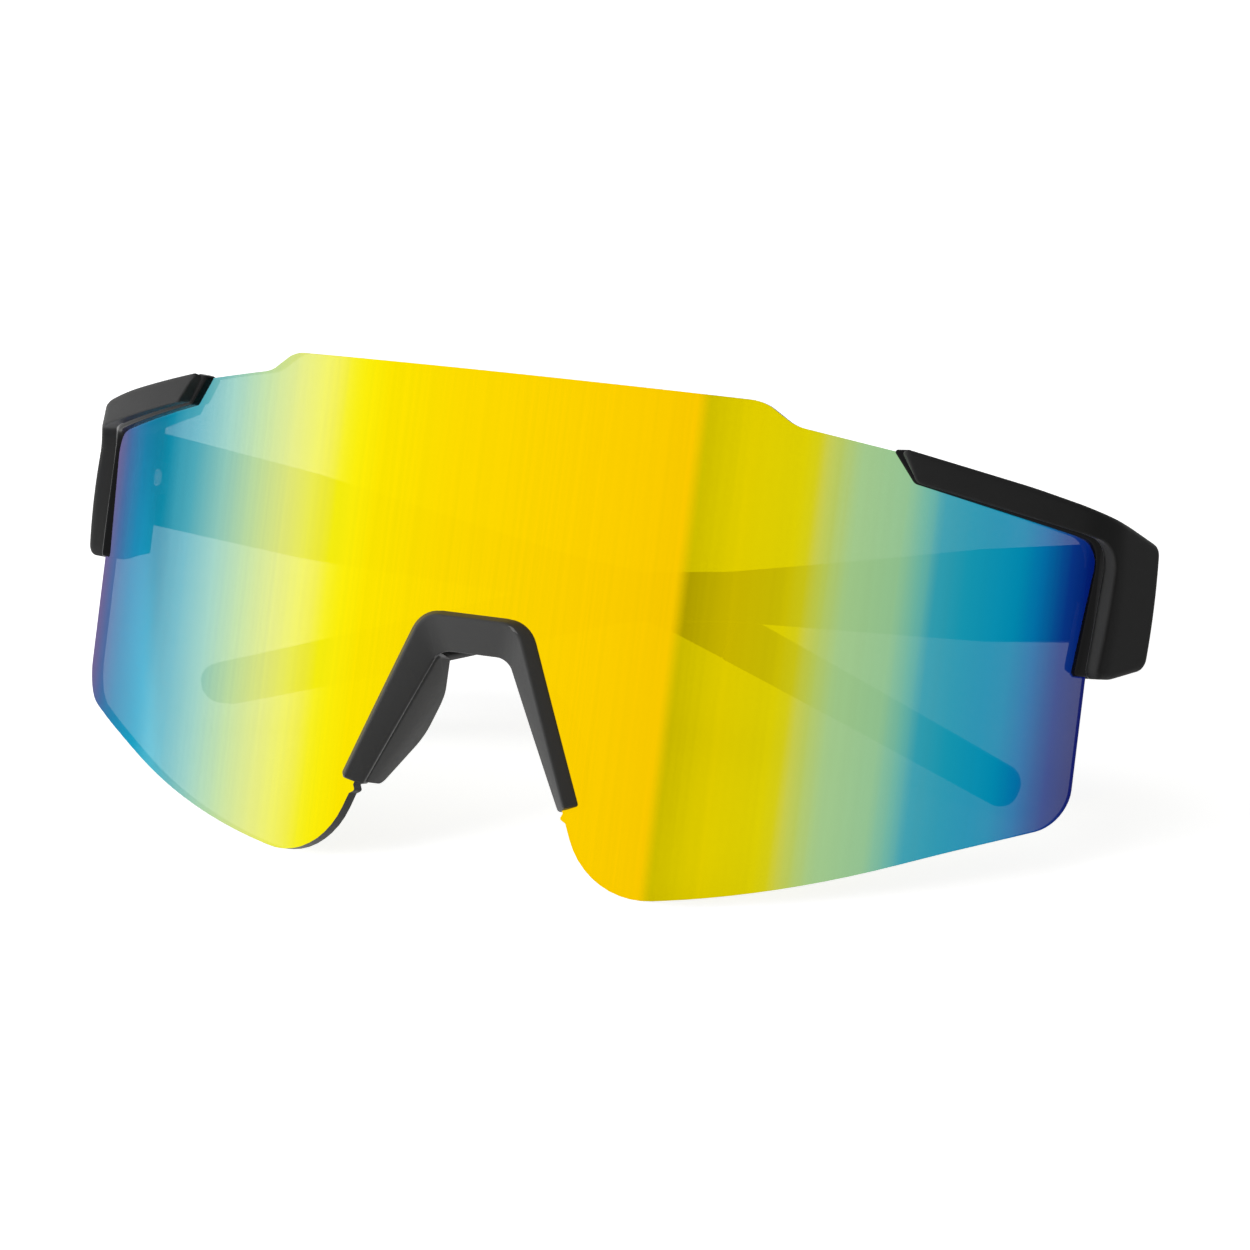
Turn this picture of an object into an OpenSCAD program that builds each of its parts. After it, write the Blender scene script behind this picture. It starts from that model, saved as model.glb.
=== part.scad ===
// Folded shield glasses: one cylindrical mirrored lens, two end pieces, two folding temples and a nose clip.
// Lengths are millimetres. Every piece is drawn in the lens frame (x to the wearer's left, y backwards,
// z up along the lens), and the whole is leant back at the end so that it stands on its lens and temple tips.

/* [Lens] */
// Radius of the cylinder that the front of the lens follows
lens_radius = 106.8; // [98:0.1:120]
// Thickness of the lens
lens_thickness = 1.5; // [1.2:0.1:1.9]
// Half of the lens width, measured straight across
lens_half_width = 67.4; // [66:0.1:69]
// Height of the raised crown of the lens above the hinge datum
crown_height = 38; // [36.5:0.1:42]
// Half width of the raised crown
crown_half_width = 33.6; // [30:0.1:38]
// Step from the crown down to the shoulder
crown_step = 2.45; // [1:0.05:3]
// Slope of the shoulder line
shoulder_slope = 7.9; // [6:0.1:10]
// Height of the outer lower corner, below the datum
side_drop = 6; // [4:0.1:8]
// Depth of the lobes beside the nose, below the datum
lobe_drop = 20.85; // [19.5:0.05:22.5]
// Distance of each lobe's lowest point from the middle
lobe_half_span = 24.3; // [23:0.1:27]
// Radius of the lobes
lobe_radius = 9.7; // [7:0.1:10.5]

/* [End pieces] */
// How far the end piece stands proud of the lens
cover_proud = 3.4; // [2.4:0.1:3.8]
// Thickness of the hinge block behind the lens
block_thickness = 2; // [1.4:0.1:2.8]
// How far the lens edge goes under the band
lens_cover = 1.9; // [1.2:0.1:2.1]
// Width of the glossy gasket lip left in view
gasket_lip = 0.7; // [0.4:0.1:1.2]
// Wall of the gasket around the lens edge
gasket_wall = 0.5; // [0.4:0.05:0.7]
// Radius of the outer corner in plan
corner_radius = 5.6; // [4:0.1:8]
// How far the rear edge of the end piece lies behind the outer edge of the lens
end_reach = 8.9; // [8:0.1:12]
// Angle by which the sides spread outwards
side_splay = 7; // [3:0.5:10]
// Height of the rear edge of the end piece
end_height = 13.9; // [13:0.1:16]
// Bottom of the rear edge above the datum
end_bottom = 13.1; // [12:0.1:14.5]

/* [Hinges] */
// Radius of the hinge barrel
barrel_radius = 1.5; // [1.3:0.05:1.7]
// Height of the temple's knuckle
knuckle_height = 1.5; // [1.3:0.1:2.5]
// Height of each ear of the hinge block
ear_height = 1.2; // [1.1:0.1:2]
// Radius of the hinge screw's shank
screw_radius = 0.6; // [0.5:0.05:0.7]
// Angle between the open and the folded left temple
fold_angle = 85; // [78:0.5:88]

/* [Temples] */
// Length of a temple from its hinge to its tip, along the side
temple_length = 123.2; // [116:1:130]
// Distance from the hinge to the bend
temple_bend = 72; // [66:1:82]
// Height of the temple at its hinge
temple_root_height = 11.6; // [10:0.1:13]
// Distance from the hinge to the neck, where the temple has narrowed
temple_neck = 56; // [45:1:60]
// Height of the temple from its neck to the bend
temple_neck_height = 5.9; // [5.2:0.1:8]
// Height of the temple near its tip
temple_tip_height = 4.8; // [4.4:0.1:6]
// Slope of the front stretch of the temple
temple_slope = 6.3; // [3:0.1:9]
// Slope of the hook behind the bend
hook_slope = 19.8; // [16:0.1:24]
// Thickness of the temple at its hinge
temple_thickness = 3.4; // [3:0.1:3.6]
// Thickness of the temple at its tip
temple_tip_thickness = 2.6; // [2.2:0.1:3]
// Radius of the bow of the temple in plan
bow_radius = 262; // [230:1:300]
// Length of the rubber sleeve on the tip
sleeve_length = 42; // [30:1:46]
// Gap between the two folded temples where they cross
crossing_gap = 0.7; // [0.5:0.1:1.5]

/* [Nose clip] */
// Half width of the clip's ridge at its lower ends
nose_half_base = 14.95; // [13:0.05:15.5]
// Half width of the clip's ridge at the bridge
nose_half_top = 6.3; // [5:0.1:7.5]
// Height of the ridge at the bridge, above the datum
nose_top = 9; // [8:0.1:12]
// How far the lower ends of the clip reach below the datum
nose_foot = 11.4; // [10:0.1:12]
// How far the ridge stands proud of the lens
nose_proud = 1.5; // [0.8:0.1:2]
// Width of the clip's outer face along its legs
clip_leg_face = 1; // [0.6:0.1:1.8]
// Width of the clip's outer face over the bridge
clip_top_face = 0.5; // [0.4:0.1:1.2]
// Depth of the pads behind the lens
pad_depth = 9.2; // [7:0.1:11]
// Thickness of a pad
pad_thickness = 1.5; // [1.2:0.1:2]

/* [Hidden] */
$fn = 64;

// fits
seat_gap = 0.05;        // between pieces of the front that are pressed together
hinge_gap = 0.06;       // between the faces of the knuckle and the ears
butt_gap = 0.3;         // between the open temple and the rear edge of the end piece
swing_gap = 0.25;       // round the barrel
shaft_gap = 0.05;       // round the screw's shank
press_gap = 0.02;       // round the insert and the bush
arc_steps = 7;          // straight pieces in each rounded corner
wall_facets = 180;      // facets of the lens cylinder in a mesh view
far = 90;               // reach of the cutting shapes

// ---- plane geometry ----
function unit(v) = v / norm(v);
function left_of(v) = [-v[1], v[0]];
function lens_back(x, r = lens_radius) = lens_radius - sqrt(r * r - x * x);

// an arc that rounds the corner b of the path a, b, c with the radius r
function fillet(a, b, c, r) =
    let (u = unit(a - b), w = unit(c - b), half = acos(u * w) / 2)
    let (centre = b + unit(u + w) * r / sin(half), reach = r / tan(half))
    let (p = b + u * reach - centre, q = b + w * reach - centre)
    let (from = atan2(p[1], p[0]), turn = atan2(q[1], q[0]) - from)
    let (sweep = turn > 180 ? turn - 360 : turn < -180 ? turn + 360 : turn)
    [for (i = [0 : arc_steps]) centre + r * [cos(from + sweep * i / arc_steps), sin(from + sweep * i / arc_steps)]];

// a path of corners [x, y, radius]; a closed path is rounded at its first and last corner too
function flat(p) = [p[0], p[1]];
function rounded(path, closed = true) =
    let (n = len(path))
    [for (i = [0 : n - 1])
        let (ends = !closed && (i == 0 || i == n - 1))
        each ends || path[i][2] == 0 ? [flat(path[i])]
            : fillet(flat(path[(i + n - 1) % n]), flat(path[i]), flat(path[(i + 1) % n]), path[i][2])];

// an open path moved sideways by d to its left, its radii changed to suit
function side_of(path, i) = left_of(unit(flat(path[i + 1]) - flat(path[i])));
function moved(path, d, bend = 0) =
    let (n = len(path))
    [for (i = [0 : n - 1])
        let (m = i == 0 ? side_of(path, 0) : side_of(path, i - 1), k = i == n - 1 ? m : side_of(path, i))
        let (p = flat(path[i]) + d * (m + k) / (1 + m * k))
        [p[0], p[1], path[i][2] == 0 ? 0 : path[i][2] + bend * d]];
function crossing(p, u, q, w) = p + u * ((q - p) * left_of(w)) / (u * left_of(w));
function mirrored(path) = [for (i = [len(path) - 1 : -1 : 0]) if (path[i][0] > 0) [-path[i][0], path[i][1], path[i][2]]];

// ---- solids shared by several pieces ----
module front_prism(points, from = -far, to = far) {
    translate([0, to, 0]) rotate([90, 0, 0]) linear_extrude(to - from) polygon(points);
}
module side_prism(points, from = 0, to = far) {
    translate([from, 0, 0]) rotate([90, 0, 90]) linear_extrude(to - from) polygon(points);
}
module lens_cylinder(depth) {
    translate([0, lens_radius, -far]) cylinder(r = lens_radius + depth, h = 2 * far, $fn = wall_facets);
}
module lens_shell(inner, outer) {
    difference() {
        lens_cylinder(outer);
        lens_cylinder(inner);
    }
}

// ---- outlines in the front view, wearer's left half ----
// the edge of the lens window along the end piece: slanted end, band, corner, leg
window_leg_top = lens_half_width - 0.25;
window_leg_foot = lens_half_width - 1.6;
window_corner_z = 26.1;
window_length = 18.8;   // from the start of the band to the lens edge
window_start = [lens_half_width - window_length, 30.6];
leg_foot = 10.5;
window_front = [
    [window_start[0] - 3.6, window_start[1] + 5.7, 0],
    [window_start[0], window_start[1], 1],
    [window_leg_top, window_corner_z, 3],
    [window_leg_foot, leg_foot - 1, 0]
];
// the same edge seen along the radius through the lens edge, in which direction the end piece is cut
edge_turn = asin(lens_half_width / lens_radius);
function turned(p) = [lens_radius * sin(asin(p[0] / lens_radius) - edge_turn), p[1], p[2]];
module edge_prism(points) {
    translate([0, lens_radius, 0]) rotate(edge_turn) translate([0, -lens_radius, 0]) front_prism(points);
}
window = [for (p = window_front) turned(p)];
ledge_width = 0.45;     // step beside the gasket lip
cover_edge = moved(window, gasket_lip, 1);
bevel_edge = moved(window, gasket_lip + ledge_width, 1);

// the edge of the lens, from the middle of the crown to the middle of the nose notch
band_line = side_of(window_front, 1);
lens_band_point = flat(window_front[1]) + lens_cover * band_line;
lens_band_way = unit(flat(window_front[2]) - flat(window_front[1]));
lens_end_point = flat(window_front[0]) + lens_cover * side_of(window_front, 0);
lens_end_way = unit(flat(window_front[1]) - flat(window_front[0]));
crown_run = 1.9;        // half of the step's run along the edge
shoulder_start = [crown_half_width + crown_run, crown_height - crown_step];
shoulder_way = [cos(shoulder_slope), -sin(shoulder_slope)];
shoulder_end = crossing(shoulder_start, shoulder_way, lens_end_point, lens_end_way);
band_start = crossing(lens_end_point, lens_end_way, lens_band_point, lens_band_way);
band_end = crossing(lens_band_point, lens_band_way, [lens_half_width, 0], [0, 1]);
band_far = crossing(lens_band_point, lens_band_way, [far, 0], [0, 1]);
lens_corner_radius = 5;
lobe_slope = 10;
bottom_slope = 24;
lobe_foot = [lobe_half_span + lobe_radius * sin(lobe_slope), -lobe_drop + lobe_radius * (1 - cos(lobe_slope))];
bottom_way = [cos(bottom_slope), sin(bottom_slope)];
bottom_corner = crossing([lens_half_width, -side_drop], bottom_way, lobe_foot, [cos(lobe_slope), sin(lobe_slope)]);
bottom_share = 0.92;    // of the straight line that its rounding takes
bottom_radius = bottom_share * norm(bottom_corner - lobe_foot) * tan(90 - (bottom_slope - lobe_slope) / 2);
bottom_far = crossing([lens_half_width, -side_drop], bottom_way, [far, 0], [0, 1]);

// the outer edge of the lens with its two rounded corners, seen along the radius through it
corner_reach = 14;
corner_widen = 3;       // its upper and lower ends leave the band line and the bottom line by this angle
band_fall = atan(-lens_band_way[1] / lens_band_way[0] * cos(edge_turn)) + corner_widen;
bottom_fall = atan(tan(bottom_slope) * cos(edge_turn)) + corner_widen;
corner_path = [
    [-corner_reach, band_end[1] + corner_reach * tan(band_fall), 0],
    [0, band_end[1], lens_corner_radius],
    [0, -side_drop, lens_corner_radius],
    [-corner_reach, -side_drop - corner_reach * tan(bottom_fall), 0]
];
module beyond_corner(grow = 0) {
    path = moved(corner_path, grow, 1);
    edge_prism(concat(rounded(path, false), [[path[3][0], -far], [far, -far], [far, far], [path[0][0], far]]));
}

// ridge of the nose clip, from its lower end up to the bridge
nose_rise = unit([nose_half_top - nose_half_base, nose_top + nose_foot]);
nose_corner_radius = 3.2;
notch_inset = 0.95;     // lens edge inside the ridge
notch_foot = [nose_half_base, -nose_foot] + notch_inset * left_of(nose_rise);
notch_corner = crossing(notch_foot, nose_rise, [0, nose_top - notch_inset], [1, 0]);
tooth_reach = 0.55;     // the tooth under each lower end of the clip stands out this far
tooth_fall = 0.5;       // from its top down to its tip
tooth_height = 1.2;     // and down to its root
tooth_top = notch_foot - 0.3 * nose_rise;
tooth_tip = tooth_top - tooth_fall * nose_rise + tooth_reach * left_of(nose_rise);
tooth_root = tooth_top - tooth_height * nose_rise;
lobe_turn = crossing(tooth_root, nose_rise, lobe_foot, [cos(lobe_slope), sin(lobe_slope)]);
half_outline = [
    [0, crown_height, 0],
    [crown_half_width - crown_run, crown_height, 5],
    [shoulder_start[0], shoulder_start[1], 5],
    [shoulder_end[0], shoulder_end[1], 0.5],
    [band_start[0], band_start[1], 0.8],
    [band_far[0], band_far[1], 0],
    [bottom_far[0], bottom_far[1], 0],
    [bottom_corner[0], bottom_corner[1], bottom_radius],
    [lobe_turn[0], lobe_turn[1], lobe_radius],
    [tooth_root[0], tooth_root[1], 0],
    [tooth_tip[0], tooth_tip[1], 0.3],
    [tooth_top[0], tooth_top[1], 0],
    [notch_corner[0], notch_corner[1], nose_corner_radius + notch_inset]
];
lens_outline = rounded(concat(half_outline, mirrored(half_outline)));

// ---- plan of the end piece: along the lens, round the corner, back along the side ----
edge_tuck = 0.47;       // lens edge outside the arc of the corner
corner = let (x = lens_half_width - corner_radius - edge_tuck, reach = lens_radius - corner_radius)
    [x, lens_radius - sqrt(reach * reach - x * x)];
corner_turn = atan2(corner[0], lens_radius - corner[1]);
rear_edge = lens_back(lens_half_width) + end_reach;
side_way = [sin(side_splay), cos(side_splay)];
side_out = [cos(side_splay), -sin(side_splay)];
side_length = (rear_edge - corner[1] + (corner_radius + cover_proud) * sin(side_splay)) / cos(side_splay);
plan_steps = 9;
function about(centre, r, turn) = centre + r * [sin(turn), -cos(turn)];
plan_start = 22;
function plan(depth) = concat(
    [for (i = [0 : plan_steps]) about([0, lens_radius], lens_radius + depth,
        plan_start + (corner_turn - plan_start) * i / plan_steps)],
    [for (i = [1 : plan_steps]) about(corner, corner_radius + depth,
        corner_turn + (90 - side_splay - corner_turn) * i / plan_steps)],
    [about(corner, corner_radius + depth, 90 - side_splay) + side_length * side_way]);
function reversed(path) = [for (i = [len(path) - 1 : -1 : 0]) path[i]];
module plan_wall(inner, outer) {
    translate([0, 0, -far / 2]) linear_extrude(far) polygon(concat(plan(outer), reversed(plan(inner))));
}

// ---- hinge ----
end_top = end_bottom + end_height;
hinge_z = end_top + 0.3 - temple_root_height / 2;
barrel_skin = 0.9;      // from the barrel to the outer face
pivot_inset = 0.3;      // from the axis back to the rear edge
outer_face = barrel_radius + barrel_skin;
rear_corner = corner + (corner_radius + cover_proud) * side_out + side_length * side_way;
pivot = rear_corner - outer_face * side_out - pivot_inset * side_way;
barrel_height = knuckle_height + 2 * (hinge_gap + ear_height);
barrel_top = hinge_z + barrel_height / 2;
barrel_foot = hinge_z - barrel_height / 2;
swing_radius = barrel_radius + swing_gap;
wall_inner = -0.1;      // inner face of the thin wall beside the hinge, from the axis
bay_length = 4;         // length of the thin wall
tongue_length = 7;      // tongue of the hinge block, from the axis forwards
block_stop = 5.2;       // the rest of the block ends here
tongue_inset = 0.1;     // tongue within the thickness of the block
web_inner = -1.2;       // inner face of the web that carries the ears
gusset_length = 1.4;
side_shift = outer_face - cover_proud;
head_radius = 1.05;     // screw heads
head_height = 0.5;
insert_radius = 0.95;   // threaded insert in the lower ear
insert_height = 0.9;
block_screw_back = -5.6; // screw that holds the block, before the hinge axis
block_screw_reach = 1;  // its reach into the end piece
module at_hinge(height = 0) {
    translate([pivot[0], pivot[1], height]) rotate(-side_splay) children();
}
module pin(radius, from, to) {
    translate([0, 0, from]) cylinder(r = radius, h = to - from);
}

// ---- end piece ----
side_start = 12;        // the outline starts this far before the lens
knee_back = 9;          // the ends of its rear part lie this far before the rear edge
knee = [rear_edge - knee_back, end_top + 1.7];
brow_fall = 0.355;     // slope of the top edge in the side view, before the knee
side_outline = rounded([
    [-side_start, knee[1] + brow_fall * (knee[0] + side_start), 0],
    [knee[0], knee[1], 16],
    [rear_edge + 0.6, end_top, 1],
    [rear_edge + 0.6, end_bottom, 1.4],
    [rear_edge - knee_back, leg_foot + 0.6, 12],
    [-side_start, leg_foot, 0]
]);
function lens_side_of(path) =
    concat(rounded(path, false), [[path[3][0], -far], [-far, -far], [-far, far], [path[0][0], far]]);
function cover_side_of(path) =
    concat(rounded(path, false), [[far, path[3][1]], [far, far], [path[0][0], far]]);
module end_piece_limits(path) {
    intersection() {
        side_prism(side_outline);
        edge_prism(cover_side_of(path));
    }
}

// the lens edge and the gasket along the end piece, from the crown down past the leg
band_path = [
    [shoulder_end[0], shoulder_end[1], 0],
    [band_start[0], band_start[1], 0.8],
    [band_far[0], band_far[1], 0]
];
module edge_region(grow) {
    path = moved(band_path, grow, 1);
    difference() {
        front_prism(concat(rounded(path, false), [[far, -far], [0, -far], [0, far], [path[0][0] - far / 4, far]]));
        beyond_corner(grow);
    }
}
gasket_front = 0.9;     // thickness of the gasket before the lens
block_face = -lens_thickness - seat_gap;

module brow_cover() {
    color([0.11, 0.11, 0.115]) difference() {
        intersection() {
            plan_wall(-lens_thickness, cover_proud);
            end_piece_limits(cover_edge);
        }
        // the groove for the lens and its gasket
        intersection() {
            lens_shell(-lens_thickness - 1, gasket_front + seat_gap);
            edge_region(2 * seat_gap + gasket_wall);
        }
        // ledge along the window
        difference() {
            edge_prism(lens_side_of(bevel_edge));
            lens_cylinder(gasket_front + (cover_proud - gasket_front) / 2);
        }
        at_hinge() {
            // bay beside the hinge
            translate([wall_inner - far, -bay_length, -far]) cube([far, 2 * bay_length, 2 * far]);
            pin(swing_radius, barrel_foot - swing_gap, barrel_top + swing_gap);
            // driver's way to the hinge screw
            pin(head_radius + swing_gap, barrel_top, end_top + 2);
            translate([-2 * lens_thickness, block_screw_back, hinge_z]) rotate([0, 90, 0])
                cylinder(r = screw_radius + seat_gap, h = 2 * lens_thickness + block_screw_reach);
        }
    }
}

module rim_gasket() {
    color([0.03, 0.03, 0.03]) difference() {
        intersection() {
            lens_shell(-lens_thickness, gasket_front);
            end_piece_limits(window);
            edge_region(seat_gap + gasket_wall);
        }
        // the lens
        intersection() {
            lens_cylinder(seat_gap);
            edge_region(seat_gap);
        }
    }
}

block_inner = block_face + side_shift - block_thickness;
tongue_outer = wall_inner - seat_gap;
tongue = [
    [block_inner + tongue_inset, -tongue_length],
    [block_face + side_shift - tongue_inset, -tongue_length],
    [block_face + side_shift - tongue_inset, -bay_length + seat_gap],
    [tongue_outer, -bay_length + seat_gap],
    [tongue_outer, 0],
    [web_inner, 0],
    [web_inner, -bay_length + gusset_length],
    [block_inner + tongue_inset, -bay_length + gusset_length]
];
module hinge_block() {
    color([0.09, 0.09, 0.095]) difference() {
        union() {
            difference() {
                intersection() {
                    plan_wall(block_face - block_thickness, block_face);
                    end_piece_limits(moved(window, 0.3, 1));
                }
                // only the hinge tongue goes on to the back
                at_hinge() translate([1 - far, -block_stop, -far]) cube([far, far, 2 * far]);
            }
            at_hinge(barrel_foot) {
                linear_extrude(barrel_height) polygon(tongue);
                pin(barrel_radius, 0, barrel_height);
            }
        }
        at_hinge(hinge_z) {
            // room for the knuckle
            pin(swing_radius, -knuckle_height / 2 - hinge_gap, knuckle_height / 2 + hinge_gap);
            // screw hole, head and insert
            pin(screw_radius + shaft_gap, -barrel_height, barrel_height);
            pin(head_radius + shaft_gap, barrel_height / 2 - head_height, barrel_height);
            pin(insert_radius + press_gap, -barrel_height, -barrel_height / 2 + insert_height);
            translate([0, block_screw_back, 0]) rotate([0, -90, 0]) {
                cylinder(r = screw_radius + seat_gap, h = far / 2);
                translate([0, 0, -block_inner - head_height])
                    cylinder(r = head_radius + seat_gap, h = far / 2);
            }
        }
    }
}
module block_screw() {
    color([0.6, 0.6, 0.62]) at_hinge(hinge_z) translate([0, block_screw_back, 0]) rotate([0, -90, 0]) {
        translate([0, 0, -block_screw_reach + 0.1])
            cylinder(r = screw_radius, h = block_screw_reach - 0.1 - block_inner - head_height);
        translate([0, 0, -block_inner - head_height])
            cylinder(r = head_radius, h = head_height);
    }
}

module hinge_screw() {
    color([0.6, 0.6, 0.62]) at_hinge(hinge_z) {
        pin(screw_radius, -barrel_height / 2, barrel_height / 2);
        pin(head_radius, barrel_height / 2 - head_height, barrel_height / 2);
    }
}

module hinge_insert() {
    color([0.75, 0.6, 0.3]) at_hinge(hinge_z) difference() {
        pin(insert_radius, -barrel_height / 2, -barrel_height / 2 + insert_height);
        pin(screw_radius + press_gap, -barrel_height, barrel_height);
    }
}

// ---- temples, drawn open along the local y axis of their hinge ----
bush_wall = 0.35;
bush_radius = screw_radius + shaft_gap + bush_wall;
bend_point = [temple_bend, hinge_z - temple_bend * tan(temple_slope)];
hook_way = [cos(hook_slope), -sin(hook_slope)];
hook_length = temple_length - temple_bend / cos(temple_slope);
tip_point = bend_point + hook_length * hook_way;
bend_normal = let (a = (temple_slope + hook_slope) / 2) [sin(a), cos(a)] / cos((hook_slope - temple_slope) / 2);
temple_front = pivot_inset + butt_gap;
temple_broad = 22;      // the temple keeps its full height up to here
// one edge of the temple's outline, from the hinge to the tip: side 1 is the top, -1 the bottom
function temple_edge(side, grow) =
    let (root = temple_root_height / 2 + grow, neck = temple_neck_height / 2 + grow, tip = temple_tip_height / 2 + grow)
    let (end = tip_point + grow * hook_way + side * tip * left_of(hook_way), bend = bend_point + side * neck * bend_normal)
    [
        [temple_front, hinge_z + side * root, 0.8],
        [temple_broad, hinge_z - temple_broad * tan(temple_slope) + side * (root - 0.4), 60],
        [temple_neck, hinge_z - temple_neck * tan(temple_slope) + side * neck, 40],
        [bend[0], bend[1], 25],
        [end[0], end[1], tip * 0.9]
    ];
function temple_profile(grow = 0) = rounded(concat(temple_edge(1, grow), reversed(temple_edge(-1, grow))));
bow_facets = 360;
bow_inner_radius = 1 / (1 / bow_radius - 2 * (temple_thickness - temple_tip_thickness) / pow(temple_length, 2));
module bow_wall(grow = 0) {
    outer = outer_face + grow;
    inner = outer_face - temple_thickness - grow;
    difference() {
        translate([outer - bow_radius, 0, -far]) cylinder(r = bow_radius, h = 2 * far, $fn = bow_facets);
        translate([inner - bow_inner_radius, 0, -2 * far]) cylinder(r = bow_inner_radius, h = 4 * far, $fn = bow_facets);
    }
}
// the half plane behind a cut across the hook, a distance before the tip
function behind_cut(before_tip) =
    let (p = tip_point - before_tip * hook_way, n = left_of(hook_way))
    [p + far * n, p + far * n + far * hook_way, p - far * n + far * hook_way, p - far * n];
core_depth = 0.75;      // sleeve over the core
core_stop = 8;          // from the end of the core to the tip
sleeve_grow = 0.1;      // sleeve proud of the temple
module temple_body(grow) {
    intersection() {
        bow_wall(grow);
        side_prism(temple_profile(grow), -far, far);
    }
}
module temple_core(grow) {
    intersection() {
        temple_body(-core_depth + grow);
        side_prism(behind_cut(sleeve_length + 1), -far, far);
        difference() {
            side_prism([[0, -far], [far * 2, -far], [far * 2, far], [0, far]], -far, far);
            side_prism(behind_cut(core_stop - grow), -far, far);
        }
    }
}
module placed(swing) {
    translate([pivot[0], pivot[1], 0]) rotate(swing - side_splay) children();
}
module temple_arm() {
    color([0.1, 0.1, 0.105]) difference() {
        union() {
            difference() {
                temple_body(0);
                side_prism(behind_cut(sleeve_length), -far, far);
                pin(swing_radius, barrel_foot - swing_gap, barrel_top + swing_gap);
            }
            temple_core(0);
            translate([0, 0, hinge_z - knuckle_height / 2]) {
                cylinder(r = barrel_radius, h = knuckle_height);
                translate([outer_face - temple_thickness, 0, 0])
                    cube([temple_thickness - barrel_skin - 0.3, swing_radius + 0.5, knuckle_height]);
            }
        }
        pin(bush_radius + press_gap, barrel_foot - 1, barrel_top + 1);
    }
}
module temple_tip() {
    color([0.14, 0.14, 0.145]) difference() {
        intersection() {
            temple_body(sleeve_grow);
            side_prism(behind_cut(sleeve_length - seat_gap), -far, far);
        }
        temple_core(seat_gap);
    }
}
module hinge_bush() {
    color([0.85, 0.85, 0.82]) translate([0, 0, hinge_z]) difference() {
        pin(bush_radius, -knuckle_height / 2, knuckle_height / 2);
        pin(screw_radius + shaft_gap, -knuckle_height, knuckle_height);
    }
}

// the right temple is folded over the left one
cross_lift = atan((temple_thickness + crossing_gap) / pivot[0]);
left_swing = fold_angle;
right_swing = fold_angle - cross_lift;

// ---- nose clip ----
// a line round the clip, outside its ridge by one distance along the legs and another over the bridge
function clip_line(leg, top) =
    let (foot = [nose_half_base, -nose_foot] - leg * left_of(nose_rise), radius = nose_corner_radius + (leg + top) / 2)
    let (head = crossing(foot, nose_rise, [0, nose_top + top], [1, 0]))
    [[foot[0], foot[1], 0], [head[0], head[1], radius], [-head[0], head[1], radius], [-foot[0], foot[1], 0]];
saddle_drop = 4.2;      // from the ridge down to the inner edge at the bridge
inner_inset = 1.7;      // inner edge inside the ridge, across
inner_fall = 0.6;       // its lower ends below those of the ridge
inner_edge = [
    [nose_half_base - inner_inset, -nose_foot - inner_fall, 0],
    [nose_half_top - inner_inset, nose_top - saddle_drop, 2.6],
    [-nose_half_top + inner_inset, nose_top - saddle_drop, 2.6],
    [-nose_half_base + inner_inset, -nose_foot - inner_fall, 0]
];
clip_back = 1.6;        // thickness of the clip behind the lens
inner_edge_depth = 0.6; // inner edge behind the front of the lens
foot_gap = 0.15;        // outer foot before the lens
outer_foot = clip_line(clip_leg_face, clip_top_face);
rear_foot = clip_line(clip_leg_face / 3, clip_top_face / 3);
notch = [
    [notch_foot[0] - 3 * nose_rise[0], notch_foot[1] - 3 * nose_rise[1], 0],
    [notch_corner[0], notch_corner[1], nose_corner_radius + notch_inset],
    [-notch_corner[0], notch_corner[1], nose_corner_radius + notch_inset],
    [-notch_foot[0] + 3 * nose_rise[0], notch_foot[1] - 3 * nose_rise[1], 0]
];
function sunk(path, depth) = [for (p = rounded(path, false)) [p[0], lens_back(p[0]) + depth, p[1]]];
// skins a tube through rings of equal length, each ring given as one column of every rail
module skinned(rails) {
    n = len(rails[0]);
    m = len(rails);
    points = [for (i = [0 : n - 1]) for (j = [0 : m - 1]) rails[j][i]];
    sides = [for (i = [0 : n - 2]) for (j = [0 : m - 1]) let (k = (j + 1) % m)
        each [[i * m + j, i * m + k, (i + 1) * m + k], [i * m + j, (i + 1) * m + k, (i + 1) * m + j]]];
    near_end = [for (j = [1 : m - 2]) [0, j + 1, j]];
    far_end = [for (j = [1 : m - 2]) [(n - 1) * m, (n - 1) * m + j, (n - 1) * m + j + 1]];
    polyhedron(points, concat(sides, near_end, far_end));
}
module nose_bridge() {
    color([0.2, 0.2, 0.205]) difference() {
        skinned([
            sunk(outer_foot, -foot_gap),
            sunk(clip_line(0, 0), -nose_proud),
            sunk(inner_edge, inner_edge_depth),
            sunk(inner_edge, lens_thickness + clip_back),
            sunk(rear_foot, lens_thickness + clip_back - 0.4)
        ]);
        difference() {
            lens_shell(-lens_thickness - seat_gap, seat_gap);
            front_prism(rounded(moved(notch, seat_gap, -1)));
        }
    }
}

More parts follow.
